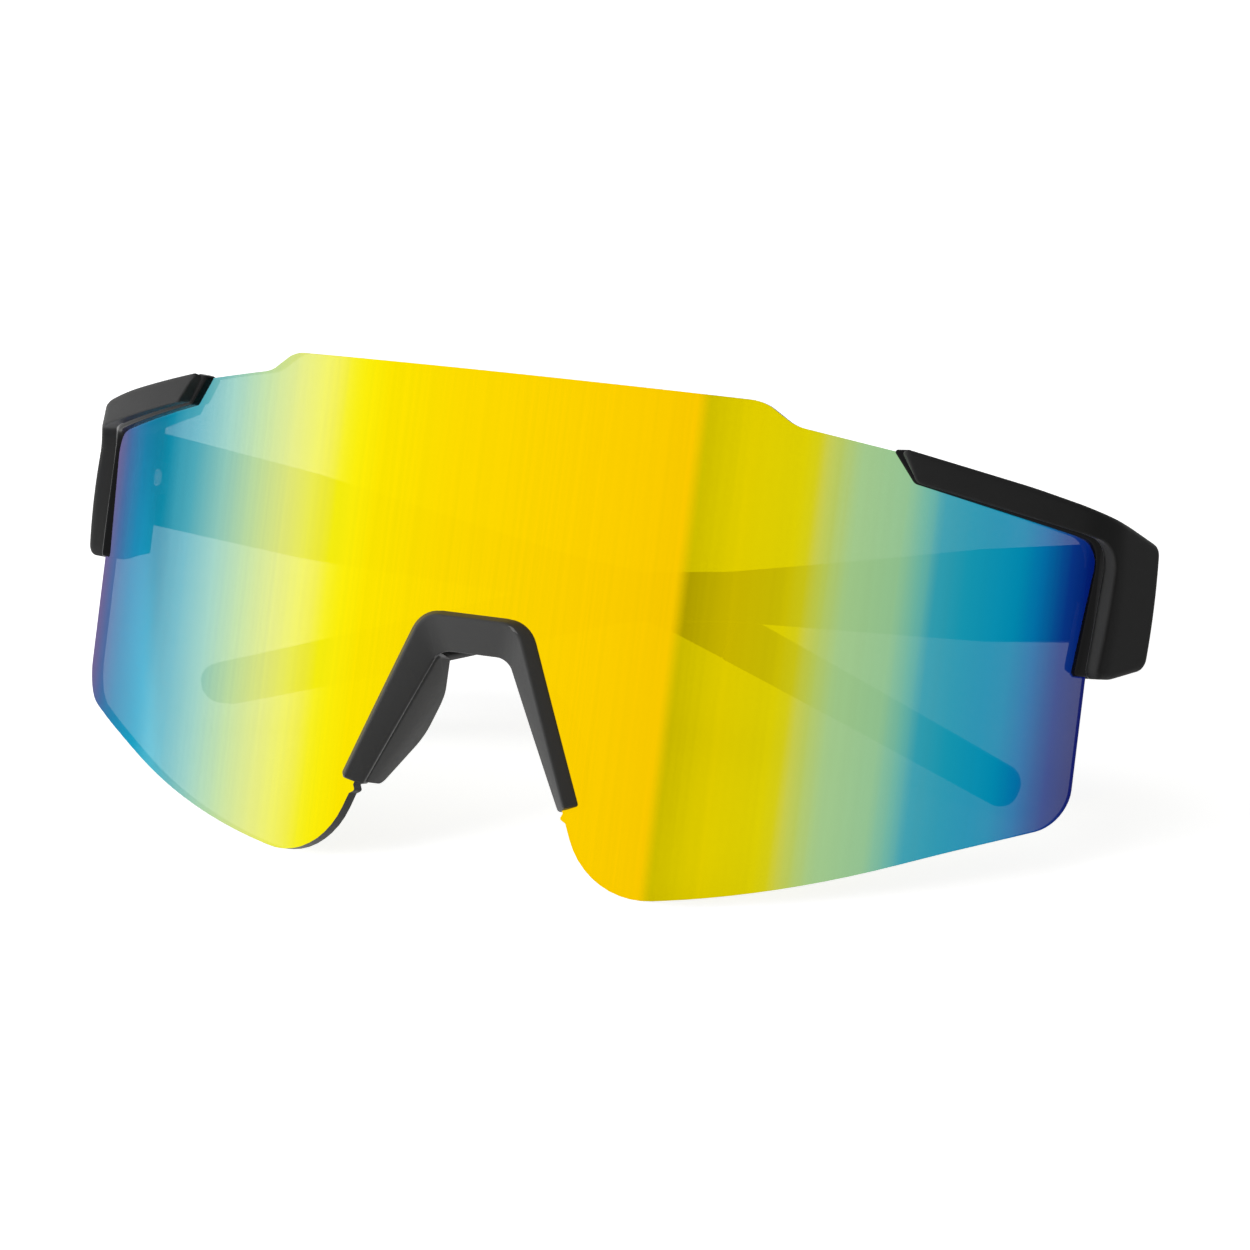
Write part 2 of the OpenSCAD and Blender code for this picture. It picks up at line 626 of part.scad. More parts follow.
pad_lean = atan2(nose_half_base - nose_half_top, nose_top - saddle_drop + nose_foot + inner_fall);
pad_length = 19.2;
pad_flare = 5;
pad_root = lens_thickness + clip_back + 0.15;
module nose_pad() {
    foot = [inner_edge[0][0], inner_edge[0][1]];
    root_low = lens_back(foot[0]) + pad_root;
    root_high = lens_back(inner_edge[1][0]) + pad_root;
    back = inner_edge_depth + pad_depth;
    color([0.2, 0.2, 0.205]) translate([foot[0], 0, foot[1]]) rotate([0, -pad_lean, 0])
        translate([0, root_low, 0]) rotate(-pad_flare) translate([0, -root_low, 0])
            side_prism(rounded([
                [root_low, 0.3, 0.3],
                [root_low + 2.2, 0, 1.5],
                [back + 0.5, pad_length * 0.36, 5],
                [back - 0.6, pad_length * 0.66, 6],
                [root_high + 0.9, pad_length * 0.95, 0.8],
                [root_high, pad_length * 0.93, 0.2]
            ]), 0.05, pad_thickness);
}

// ---- the part: leant back on its lobes and temple tips, origin at the saddle of the nose clip ----
function swung(v, u, swing) = pivot + [cos(swing - side_splay) * v - sin(swing - side_splay) * u,
    sin(swing - side_splay) * v + cos(swing - side_splay) * u];
tip_side = outer_face - temple_thickness / 2 - pow(tip_point[0], 2) / (2 * bow_radius);
tip_back = (swung(tip_side, tip_point[0], left_swing)[1] + swung(tip_side, tip_point[0], right_swing)[1]) / 2;
tip_low = tip_point[1] - temple_tip_height / 2;
lean = atan2(tip_low + lobe_drop, tip_back - lens_back(lobe_half_span));
saddle = [0, lens_thickness / 2, nose_top - saddle_drop];
module standing() {
    rotate([-lean, 0, 0]) translate(-saddle) children();
}
module right_hand() {
    mirror([1, 0, 0]) children();
}

module lens_shield() {
    color([0.2, 0.6, 0.7]) difference() {
        intersection() {
            lens_shell(-lens_thickness, 0);
            front_prism(lens_outline);
        }
        beyond_corner();
        right_hand() beyond_corner();
    }
}

standing() lens_shield();
standing() brow_cover();  // brow_cover_left
standing() right_hand() brow_cover();  // brow_cover_right
standing() rim_gasket();  // rim_gasket_left
standing() right_hand() rim_gasket();  // rim_gasket_right
standing() hinge_block();  // hinge_block_left
standing() right_hand() hinge_block();  // hinge_block_right
standing() block_screw();  // block_screw_left
standing() right_hand() block_screw();  // block_screw_right
standing() hinge_screw();  // hinge_screw_left
standing() right_hand() hinge_screw();  // hinge_screw_right
standing() hinge_insert();  // hinge_insert_left
standing() right_hand() hinge_insert();  // hinge_insert_right
standing() placed(left_swing) hinge_bush();  // hinge_bush_left
standing() right_hand() placed(right_swing) hinge_bush();  // hinge_bush_right
standing() placed(left_swing) temple_arm();  // temple_arm_left
standing() right_hand() placed(right_swing) temple_arm();  // temple_arm_right
standing() placed(left_swing) temple_tip();  // temple_tip_left
standing() right_hand() placed(right_swing) temple_tip();  // temple_tip_right
standing() nose_bridge();
standing() nose_pad();  // nose_pad_left
standing() right_hand() nose_pad();  // nose_pad_right
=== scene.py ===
# %% [markdown]
# # Folding shield glasses
# A pair of sports glasses with one big mirrored lens lies folded on a pale floor. The lens, the end pieces,
# their lips and the nose clip are modelled anew here, because their bent and rounded faces are easier to make
# in a mesh than in a solid. Brackets, pads, temples and tips are rounded copies of the CAD solids. Screws,
# inserts and bushes are the CAD's own.

# %% Load the frame
import bpy
import bmesh
import math
from mathutils import Matrix, Vector


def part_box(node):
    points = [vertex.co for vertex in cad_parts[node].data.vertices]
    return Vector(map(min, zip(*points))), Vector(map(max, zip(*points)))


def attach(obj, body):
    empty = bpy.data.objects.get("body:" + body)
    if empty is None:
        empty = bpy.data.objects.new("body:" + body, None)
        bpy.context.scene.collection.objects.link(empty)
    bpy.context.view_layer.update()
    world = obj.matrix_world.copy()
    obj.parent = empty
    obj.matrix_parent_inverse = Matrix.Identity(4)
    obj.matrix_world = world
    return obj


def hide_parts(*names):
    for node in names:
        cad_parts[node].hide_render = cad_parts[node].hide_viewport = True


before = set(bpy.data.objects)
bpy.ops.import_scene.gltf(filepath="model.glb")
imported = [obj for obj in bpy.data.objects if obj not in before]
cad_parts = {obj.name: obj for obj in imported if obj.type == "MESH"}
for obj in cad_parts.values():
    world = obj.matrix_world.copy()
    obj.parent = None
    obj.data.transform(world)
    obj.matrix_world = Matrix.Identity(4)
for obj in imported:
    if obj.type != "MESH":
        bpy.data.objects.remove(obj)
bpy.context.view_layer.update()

# %% [markdown]
# The glasses are easiest to describe upright, in the lens's own axes: x to the wearer's left, y backwards and
# z up along the lens, in millimetres. On the floor they lean back on the lobes of the lens and the temple
# tips. One matrix takes a piece from the first description to the second, and turns millimetres into metres.

# %% Lens axes to floor axes
MM = 0.001
LEAN = math.radians(24.4862)
SADDLE = Vector((0, 0.75, 4.8))
STAND = Matrix.Scale(MM, 4) @ Matrix.Rotation(-LEAN, 4, "X") @ Matrix.Translation(-SADDLE)
UPRIGHT = STAND.inverted()
LENS_RADIUS = 106.8
LENS_THICKNESS = 1.5
LENS_HALF_WIDTH = 67.4


def bow(x):
    """How far the front face of the lens lies behind its middle at the place x."""
    return LENS_RADIUS - math.sqrt(LENS_RADIUS ** 2 - x ** 2)


print("lean of the lens:", round(math.degrees(LEAN), 1), "degrees")
print("bow of the lens:", round(bow(LENS_HALF_WIDTH), 1), "mm at its ends")

# %% [markdown]
# A shader's arithmetic reads best as Python. This class wraps a socket, so that `1 - mask * 0.5` adds the
# Math nodes for it. Every other kind of node comes from one method, which sets the node's options first and
# then its inputs, because some options decide which inputs the node has.

# %% A socket that can be added and multiplied
class Socket:
    def __init__(self, tree, socket=None):
        self.tree, self.socket = tree, socket

    def node(self, kind, settings=None, out=0, **inputs):
        made = self.tree.nodes.new(kind)
        for name, value in (settings or {}).items():
            if name == "stops":
                ramp = made.color_ramp.elements
                while len(ramp) < len(value):
                    ramp.new(0.5)
                for stop, (place, colour) in zip(ramp, value):
                    stop.position = place
                    stop.color = (*colour, 1) if hasattr(colour, "__len__") else (colour, colour, colour, 1)
            else:
                setattr(made, name, value)
        for name, value in inputs.items():
            target = made.inputs[int(name[1:]) if name[1:].isdigit() else name.replace("_", " ")]
            if isinstance(value, Socket):
                self.tree.links.new(value.socket, target)
            else:
                target.default_value = value
        return Socket(self.tree, made.outputs[out])

    def sibling(self, name):
        """Another output of the same node."""
        return Socket(self.tree, self.socket.node.outputs[name])

    def maths(self, operation, a, b):
        return self.node("ShaderNodeMath", {"operation": operation}, i0=a, i1=b)

    def __add__(self, other): return self.maths("ADD", self, other)
    def __radd__(self, other): return self.maths("ADD", other, self)
    def __sub__(self, other): return self.maths("SUBTRACT", self, other)
    def __rsub__(self, other): return self.maths("SUBTRACT", other, self)
    def __mul__(self, other): return self.maths("MULTIPLY", self, other)
    def __truediv__(self, other): return self.maths("DIVIDE", self, other)

    def above(self, low, high):
        """0 below low, 1 above high and a smooth rise between."""
        return self.node("ShaderNodeMapRange", {"interpolation_type": "SMOOTHSTEP"},
                         i0=self, i1=low, i2=high, i3=0.0, i4=1.0)

# %% [markdown]
# Every finish starts in the same way: a new material, one Principled shader, and the position on the piece in
# metres. Patterns hang on that position, so that they stay put when a temple turns. Most patterns are noise,
# because the surface of moulded plastic is irregular.

# %% Start a material
def new_material(name, **constants):
    material = bpy.data.materials.new(name)
    material.use_nodes = True
    tree = material.node_tree
    shader = tree.nodes["Principled BSDF"]
    for socket, value in constants.items():
        shader.inputs[socket.replace("_", " ")].default_value = value
    maker = Socket(tree)
    place = maker.node("ShaderNodeTexCoord", out="Object")
    return material, shader, maker, place


def feed(shader, **links):
    for socket, value in links.items():
        shader.id_data.links.new(value.socket, shader.inputs[socket.replace("_", " ")])


def show(maker, result):
    """Makes a mix of shaders the surface of its material."""
    maker.tree.links.new(result.socket, maker.tree.nodes["Material Output"].inputs["Surface"])


def noise(maker, place, size, detail=2.0, stretch=(1, 1, 1)):
    """Noise whose lumps are about size metres across, stretched along an axis by a factor."""
    scaled = maker.node("ShaderNodeMapping", Vector=place, Scale=[1 / s for s in stretch])
    return maker.node("ShaderNodeTexNoise", Vector=scaled, Scale=1 / size, Detail=detail, Roughness=0.55)


def blend(maker, amount, a, b):
    """The colour a where amount is 0, and b where it is 1."""
    return maker.node("ShaderNodeMix", {"data_type": "RGBA"}, out=2, i0=amount, i6=a, i7=b)


def bump(maker, height, depth):
    """Normals of a surface whose height runs from 0 to depth metres."""
    return maker.node("ShaderNodeBump", Height=height, Distance=depth, Strength=1.0)

# %% [markdown]
# Lens, end pieces and lips all start as flat outlines with rounded corners. A bevel could round them, but it
# slides along uneven sides. Here each corner is one vertex that is spun about the centre of its arc, and the
# arcs are joined by straight edges, so every radius is exact.

# %% Outline with spun corners
def spun_corner(bm, before, here, after, radius, steps):
    """A corner of a path in the xz plane: a vertex spun about the centre of its arc. Its two end vertices."""
    if not radius:
        v = bm.verts.new(here)
        return v, v
    u, w = (before - here).normalized(), (after - here).normalized()
    half = u.angle(w) / 2
    centre = here + (u + w).normalized() * radius / math.sin(half)
    first = bm.verts.new(here + u * radius / math.tan(half))
    turn = math.copysign(math.pi - 2 * half, u.cross(w).y)
    spun = bmesh.ops.spin(bm, geom=[first], cent=centre, axis=(0, 1, 0), angle=-turn, steps=steps)
    return first, [g for g in spun["geom_last"] if isinstance(g, bmesh.types.BMVert)][0]


def rounded_path(bm, corners, depth=0.0, closed=True, steps=10):
    """The edges of a path of (x, z, radius) corners at one depth."""
    known = set(bm.edges)
    spots = [Vector((x, depth, z)) for x, z, _ in corners]
    ends = [spun_corner(bm, spots[i - 1], here, spots[(i + 1) % len(spots)], corners[i][2], steps)
            for i, here in enumerate(spots)]
    for i in range(0 if closed else 1, len(ends)):
        bm.edges.new((ends[i - 1][1], ends[i][0]))
    return [e for e in bm.edges if e not in known]

# %% [markdown]
# Pieces are finished alike: faces smooth, edges sharp only where two faces meet at a real corner, then the
# mesh is linked, rides on its body and stands for the CAD nodes that it replaces.

# %% Finish a piece
LEAST_CORNER = 28


def sharp_edges(bm, least):
    """The edges whose faces meet at more than least degrees."""
    return [e for e in bm.edges if len(e.link_faces) == 2 and e.calc_face_angle(0) > math.radians(least)]


def finish_piece(bm, name, material, body, nodes, sharp=LEAST_CORNER):
    bmesh.ops.recalc_face_normals(bm, faces=bm.faces[:])
    for face in bm.faces:
        face.smooth = True
    hard = set(sharp_edges(bm, sharp))
    for edge in bm.edges:
        edge.smooth = edge not in hard
    mesh = bpy.data.meshes.new(name)
    bm.to_mesh(mesh)
    bm.free()
    mesh.materials.append(material)
    piece = bpy.data.objects.new(name, mesh)
    bpy.context.scene.collection.objects.link(piece)
    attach(piece, body)
    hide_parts(*nodes)
    print(name, len(mesh.vertices), "vertices")
    return piece

# %% [markdown]
# ## Mirrored lens
# The lens is one sheet of polycarbonate, 1.5 mm thick, bent to a cylinder. Its outline is easiest to draw
# flat, seen from the front: a raised crown, a step down to the shoulders, the slanted ends, the lobes beside
# the nose and the notch of the nose clip. One half is listed, and the other is its mirror image.

# %% Outline of the lens
def mirrored_outline(half):
    return half + [(-x, z, r) for x, z, r in reversed(half) if x > 0]


LENS_HALF = [
    (0, 38, 0), (31.7, 38, 5), (35.5, 35.55, 5), (48.895, 33.69, 0.5), (49.796, 32.265, 0.8),
    (LENS_HALF_WIDTH, 27.994, 0), (LENS_HALF_WIDTH, -6, 0), (39.881, -18.252, 105.7),
    (18.428, -22.035, 9.7), (14.661, -13.152, 0), (13.881, -12.722, 0.3), (14.192, -12.047, 0),
    (5.671, 8.05, 4.15),
]
lens = bmesh.new()
bmesh.ops.contextual_create(lens, geom=rounded_path(lens, mirrored_outline(LENS_HALF)))
print("outline of the lens:", len(lens.verts), "vertices,", len(lens.faces), "face")

# %% [markdown]
# The real sheet is moulded bent. Here the flat face is first sliced into upright strips a millimetre wide.
# Unrolling keeps lengths along the surface true, so the outer corners are rounded in that state, and rolling
# up then bends the strips round the cylinder. The cut edge of a real lens stands square to its surface, so
# the thickness is added towards the axis of the cylinder.

# %% Bend it and give it thickness
STRIP = 1.0
STRIPS = 58
OUTER_CORNER = 3.9
STRIP_WELD = 0.08
RIM_CORNER, RIM_ROUND = 60, 0.12


def slice_at(bm, places, normal=(1, 0, 0), tolerance=1e-4):
    for place in places:
        bmesh.ops.bisect_plane(bm, geom=bm.verts[:] + bm.edges[:] + bm.faces[:], dist=tolerance,
                               plane_co=[place * n for n in normal], plane_no=normal)


def slice_both_sides(bm, places):
    slice_at(bm, [side * place for place in places for side in (-1, 1)], tolerance=1e-5)


slice_both_sides(lens, [STRIP * i for i in range(STRIPS)])
for v in lens.verts:
    v.co.x = LENS_RADIUS * math.asin(v.co.x / LENS_RADIUS)
edge_place = LENS_RADIUS * math.asin(LENS_HALF_WIDTH / LENS_RADIUS)
tips = [v for v in lens.verts if abs(abs(v.co.x) - edge_place) < 1e-3]
bmesh.ops.bevel(lens, geom=tips, offset=OUTER_CORNER, offset_type="OFFSET", segments=10, profile=0.5,
                affect="VERTICES", material=-1)
next_strip = math.ceil(LENS_RADIUS * math.asin(STRIP * STRIPS / LENS_RADIUS))
slice_both_sides(lens, [next_strip + STRIP * i for i in range(int(edge_place) - next_strip + 1)])
bmesh.ops.remove_doubles(lens, verts=lens.verts[:], dist=STRIP_WELD)
for v in lens.verts:
    turn = v.co.x / LENS_RADIUS
    v.co.x, v.co.y = LENS_RADIUS * math.sin(turn), LENS_RADIUS * (1 - math.cos(turn))
made = bmesh.ops.extrude_face_region(lens, geom=lens.faces[:], use_keep_orig=True)
axis = Vector((0, LENS_RADIUS, 0))
for v in [g for g in made["geom"] if isinstance(g, bmesh.types.BMVert)]:
    out = (v.co - axis) * Vector((1, 1, 0))
    v.co -= out.normalized() * LENS_THICKNESS
bmesh.ops.bevel(lens, geom=sharp_edges(lens, RIM_CORNER), offset=RIM_ROUND, offset_type="OFFSET",
                segments=2, profile=0.5, affect="EDGES", clamp_overlap=True, material=-1)
bmesh.ops.transform(lens, matrix=STAND, verts=lens.verts[:])
print("bent lens:", len(lens.faces), "faces")

# %% [markdown]
# The mirror coat is a stack of thin films. It shows another colour at each angle, so the bent lens runs from
# purple and blue over green and yellow to gold, and back to blue. Just beyond the gold, a darker olive band is
# a painted reflection of the edge of a studio panel. Thin-film shading would need the true
# thicknesses of the films, so two lists along the width stand for it: the colours, and the share of light
# from behind that gets through. That share is larger where the temples show at the sides.

# %% Colours across the lens
def srgb(red, green, blue):
    """Linear values of a colour given from 0 to 255."""
    return tuple((c / 255 / 12.92 if c < 11 else ((c / 255 + 0.055) / 1.055) ** 2.4)
                 for c in (red, green, blue))


COAT_AND_REFLECTION = [
    (-67.4, srgb(112, 92, 146)), (-64, srgb(60, 104, 160)), (-60, srgb(5, 128, 171)),
    (-54, srgb(0, 149, 181)), (-48, srgb(80, 174, 190)), (-42, srgb(143, 201, 187)),
    (-36, srgb(190, 220, 158)), (-30, srgb(224, 231, 120)), (-26, srgb(248, 238, 80)),
    (-22, srgb(255, 236, 15)), (-16, srgb(255, 229, 0)), (-6, srgb(255, 218, 0)), (4, srgb(255, 212, 0)),
    # The drop from gold at 24.4 mm to a darker olive is a painted reflection of the edge of a studio panel.
    (14, srgb(255, 206, 0)), (24.4, srgb(247, 199, 0)), (25.7, srgb(178, 160, 0)), (28, srgb(186, 168, 0)),
    (31, srgb(200, 180, 0)), (37, srgb(203, 190, 5)), (38.6, srgb(200, 195, 25)), (40.4, srgb(183, 198, 80)),
    (43, srgb(158, 197, 134)), (48, srgb(143, 191, 142)), (50.3, srgb(105, 178, 160)),
    (52, srgb(50, 156, 173)), (55, srgb(20, 148, 174)), (60, srgb(0, 136, 173)), (62.4, srgb(0, 108, 163)),
    (64.6, srgb(6, 52, 130)), (67.4, srgb(0, 6, 95)),
]
THROUGH = [
    (-67.4, 0.07), (-54, 0.07), (-48, 0.09), (-42, 0.08), (-36, 0.06), (-24, 0.06), (-19, 0.012),
    (24.4, 0.012), (25.8, 0.16), (36, 0.13), (40.5, 0.02), (58, 0.025), (63, 0.05), (67.4, 0.07),
]
print("colours across the lens:", len(COAT_AND_REFLECTION))

# %% [markdown]
# Light from behind passes the rear face first, which darkens it, and then the coat. The coat's own share is
# the listed share divided by what the rear face lets through, and its colours are made stronger by what the
# clear share takes from them.

# %% Share the light between coat and rear face
REAR_TINT = 0.55
REAR_SHARE = 0.7
MOST_CLEAR = 0.5
SPAN = 135.0


def at(stops, x):
    """The value of a list of stops at the place x."""
    for (a, low), (b, high) in zip(stops, stops[1:]):
        if x <= b:
            return low + (high - low) * max(0, (x - a) / (b - a))
    return stops[-1][1]


def along(stops):
    """Stops of a ramp over the whole width, from stops in millimetres."""
    return [((x + SPAN / 2) / SPAN, value) for x, value in stops]


front_share = [(x, min(MOST_CLEAR, t / REAR_TINT / REAR_SHARE)) for x, t in THROUGH]
full_coat_and_reflection = [(x, tuple(min(1, c / (1 - at(front_share, x))) for c in colour)) for x, colour in COAT_AND_REFLECTION]
print("largest clear share of the coat:", round(max(share for _, share in front_share), 2))

# %% [markdown]
# Being a mirror, the coat is metallic. A metal turns white at the rim, which this coat doesn't, so the
# Specular Tint holds that back. Fine brushed streaks run up the lens: they shift the colours a little to the
# side and change the roughness. In the middle only yellow light gets through.

# %% Mirror finish
STREAK_SIZE, STREAK_SHIFT = 0.0006, 0.0008
WISP_SIZE, WISP_SHIFT = 0.004, 0.0010
MIDDLE_BEGINS, MIDDLE_ENDS = (-0.026, -0.019), (0.038, 0.0405)
YELLOW = (1, 0.88, 0.0, 1)
RIM_TINT = (0.55, 0.55, 0.55, 1)

mirror, coat, m, place = new_material("mirror_coat", Metallic=1.0, Specular_Tint=RIM_TINT)
level = m.node("ShaderNodeMapping", Vector=place, Rotation=(LEAN, 0, 0))
streaks = noise(m, level, STREAK_SIZE, detail=4, stretch=(1, 1, 90))
wisps = noise(m, level, WISP_SIZE, detail=3, stretch=(1, 1, 30))
across = m.node("ShaderNodeSeparateXYZ", Vector=place)
shifted = across + (streaks - 0.5) * STREAK_SHIFT + (wisps - 0.5) * WISP_SHIFT
colour = m.node("ShaderNodeValToRGB", {"stops": along(full_coat_and_reflection)}, Fac=shifted / (SPAN * MM) + 0.5)
streaky = m.node("ShaderNodeValToRGB", {"stops": [(0.35, 0.975), (0.65, 1.0)]}, Fac=streaks)
tinted = m.node("ShaderNodeMix", {"data_type": "RGBA", "blend_type": "MULTIPLY"}, out=2,
                i0=1.0, i6=colour, i7=streaky)
feed(coat, Base_Color=tinted, Roughness=0.12 + streaks * 0.02)
clear_all = m.node("ShaderNodeBsdfTransparent", Color=(1, 1, 1, 1))
clear_yellow = m.node("ShaderNodeBsdfTransparent", Color=YELLOW)
middle = across.above(*MIDDLE_BEGINS) * (1 - across.above(*MIDDLE_ENDS))
clear = m.node("ShaderNodeMixShader", i0=middle, i1=clear_all, i2=clear_yellow)
share = m.node("ShaderNodeValToRGB", {"stops": along(front_share)}, Fac=across / (SPAN * MM) + 0.5)
show(m, m.node("ShaderNodeMixShader", i0=share, i1=Socket(m.tree, coat.outputs[0]), i2=clear))
print("nodes of the mirror:", len(m.tree.nodes))

# %% [markdown]
# Behind the coat lies smoke-tinted polycarbonate. Its rear face is clear and glossy and darkens what is seen
# through it. The cut edge round the lens is the same plastic in its full depth, so it is nearly black.

# %% Rear face and cut edge
smoke, rear, m, place = new_material("smoke_plastic", Roughness=0.08, Specular_IOR_Level=0.5)
haze = noise(m, place, 0.02, detail=2)
feed(rear, Base_Color=blend(m, haze, (0.008, 0.009, 0.011, 1), (0.013, 0.014, 0.017, 1)))
window = m.node("ShaderNodeBsdfTransparent", Color=(REAR_TINT, REAR_TINT, REAR_TINT, 1))
show(m, m.node("ShaderNodeMixShader", i0=REAR_SHARE + (haze - 0.5) * 0.04,
               i1=Socket(m.tree, rear.outputs[0]), i2=window))
cut, shader, m, place = new_material("cut_edge", Specular_IOR_Level=0.3)
marks = noise(m, place, 0.0004, detail=3, stretch=(1, 1, 6))
feed(shader, Base_Color=blend(m, marks, (0.018, 0.018, 0.018, 1), (0.03, 0.03, 0.03, 1)),
     Roughness=0.3 + marks * 0.25, Normal=bump(m, marks, 0.00001))
print("finishes of the lens:", mirror.name, smoke.name, cut.name)

# %% [markdown]
# Each face of the lens gets its finish by the way it faces: outwards from the axis of the cylinder is the
# coat, towards the axis is the rear, and everything between is the cut edge.

# %% Give each face its finish
COAT_SLOT, REAR_SLOT, EDGE_SLOT = range(3)
SQUARE_ON = 0.9
hub = STAND @ axis
post = (STAND.to_3x3() @ Vector((0, 0, 1))).normalized()


def away_from_axis(spot):
    """The vector from the axis of the standing lens to a spot, square to the axis."""
    out = spot - hub
    return out - post * out.dot(post)


bmesh.ops.recalc_face_normals(lens, faces=lens.faces[:])
for face in lens.faces:
    facing = face.normal.dot(away_from_axis(face.calc_center_median()).normalized())
    face.material_index = COAT_SLOT if facing > SQUARE_ON else REAR_SLOT if facing < -SQUARE_ON else EDGE_SLOT
lens_piece = finish_piece(lens, "lens", mirror, "front", ["lens_shield"], sharp=20)
lens_piece.data.materials.append(smoke)
lens_piece.data.materials.append(cut)

# %% [markdown]
# A mirror shows every error of its surface. More strips would make the errors smaller, but never remove
# them. The two large faces get the exact normals of the cylinder, so their strips don't show.

# %% Exact normals of the cylinder
sheet = lens_piece.data
normals = [corner.vector.copy() for corner in sheet.corner_normals]
for face in sheet.polygons:
    if face.material_index != EDGE_SLOT:
        way = 1 if face.material_index == COAT_SLOT else -1
        for i in face.loop_indices:
            spot = sheet.vertices[sheet.loops[i].vertex_index].co
            normals[i] = away_from_axis(spot).normalized() * way
sheet.normals_split_custom_set(normals)
print("corners of the lens:", len(normals))

# %% [markdown]
# ## Finishes of the frame
# Moulded plastic is even in colour, slightly cloudy, and has a fine grain from its mould. The end pieces and
# temples are a matte black, the end pieces with a pale strip painted beside the window as a highlight, the
# lips a glossy black, and the clip a dark grey. The rubber of the pads and tips is duller. One function makes
# them all, so they differ only in the values that matter. Corners catch light, so two of the finishes get a
# painted highlight: they are paler where the surface is sharp.

# %% Plastics and rubber
CLOUD_SIZE, CLOUD_LIGHT = 0.012, 1.25
SHARP_FROM, SHARP_TO = 0.53, 0.62


def moulded(name, colour, roughness, grain, depth, specular=0.25, edge=None):
    """Plastic of an even colour, slightly cloudy, with a fine grain and, if edge is given, paler edges as a
    painted highlight.
    """
    material, shader, m, place = new_material(name, Specular_IOR_Level=specular)
    clouds = noise(m, place, CLOUD_SIZE, detail=3)
    fine = noise(m, place, grain, detail=3)
    light = tuple(c * CLOUD_LIGHT for c in colour)
    even = blend(m, clouds, (*colour, 1), (*light, 1))
    if edge:
        # Sharp places turn paler: a painted highlight on the corners.
        highlight_mask = m.node("ShaderNodeNewGeometry", out="Pointiness")
        even = blend(m, highlight_mask.above(SHARP_FROM, SHARP_TO), even, (*edge, 1))
    feed(shader, Base_Color=even,
         Roughness=roughness + (clouds - 0.5) * 0.08 + (fine - 0.5) * 0.12,
         Normal=bump(m, fine, depth))
    return material


# The edge colours below are painted highlights on sharp corners.
frame_black = moulded("frame_black_fine", srgb(51, 51, 51), 0.46, 0.00035, 0.000012, specular=0.03,
                      edge=srgb(58, 58, 58))
# A paler, glossier finish for the band beside the window: a painted highlight.
painted_highlight = moulded("painted_edge_highlight", srgb(95, 95, 95), 0.35, 0.0004, 0.000006)
gasket_black = moulded("gasket_gloss", srgb(7, 7, 8), 0.22, 0.0015, 0.000004, specular=0.12)
clip_grey = moulded("clip_grey_fine", srgb(54, 54, 54), 0.42, 0.00035, 0.000012, specular=0.22,
                    edge=srgb(105, 105, 105))
pad_rubber = moulded("pad_rubber_fine", srgb(66, 66, 66), 0.55, 0.0005, 0.00001)
tip_rubber = moulded("tip_rubber_fine", srgb(34, 34, 35), 0.68, 0.0005, 0.00001)
nylon = moulded("bush_nylon_fine", srgb(222, 220, 210), 0.45, 0.0004, 0.000004, specular=0.5)
print("finishes so far:", len(bpy.data.materials))

# %% [markdown]
# The screws are turned from steel and the inserts from brass. Turning leaves fine marks, so both the colour
# and the roughness follow one fine noise. The nylon bushes use the moulded finish from before. These small
# parts keep the CAD's shape, and only their material changes.

# %% Metal and nylon parts
def turned_metal(name, dark, light, grain, roughness):
    material, shader, m, place = new_material(name, Metallic=1.0)
    marks = noise(m, place, grain, detail=3)
    feed(shader, Base_Color=blend(m, marks, dark, light), Roughness=roughness + marks * 0.2)
    return material


steel = turned_metal("screw_steel_fine", (0.5, 0.5, 0.51, 1), (0.66, 0.66, 0.66, 1), 0.0002, 0.24)
brass = turned_metal("insert_brass_fine", (0.62, 0.42, 0.16, 1), (0.75, 0.55, 0.24, 1), 0.0003, 0.3)
small_parts = 0
for name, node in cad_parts.items():
    for kind, material in (("screw", steel), ("insert", brass), ("bush", nylon)):
        if kind in name:
            node.material_slots[0].material = material
            small_parts += 1
print("small parts with a new finish:", small_parts)

# %% [markdown]
# ## Rounded copies
# Moulded plastic has no knife edges. Where the CAD solid has the right shape, modelling it again would only
# add errors. So a copy of it is welded together, flat neighbours are joined, and the real corners are rounded
# by a small bevel.

# %% Copy a solid and round its corners
COPY_WELD = 0.004
FLAT_ANGLE, COPY_CORNER = 0.8, 32


def rounded_copy(node, width):
    bm = bmesh.new()
    bm.from_mesh(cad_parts[node].data)
    bmesh.ops.remove_doubles(bm, verts=bm.verts[:], dist=COPY_WELD * MM)
    bmesh.ops.dissolve_limit(bm, angle_limit=math.radians(FLAT_ANGLE), verts=bm.verts[:], edges=bm.edges[:])
    bmesh.ops.bevel(bm, geom=sharp_edges(bm, COPY_CORNER), offset=width * MM, offset_type="OFFSET",
                    segments=2, profile=0.5, affect="EDGES", clamp_overlap=True, material=-1)
    return bm


copied = [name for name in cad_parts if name.startswith(("hinge_block", "nose_pad", "temple"))]
print("solids that are copied:", copied)

# %% [markdown]
# The brackets behind the lens carry the hinge ears, the pads rest on the nose, and each temple ends in a
# rubber tip. Two of them need a small change to fit the pieces that are modelled anew: the bracket ends where
# the slanted end of the end piece stops covering it, and the front rim of the pad reaches into the clip.

# %% Rounded pieces of the frame
SLANT_SPOT, SLANT_WAY = (50.8, 0, 31.5), (-3.7, 0, -2.4)
PAD_RIM, PAD_REACH = 4.3, 1.9


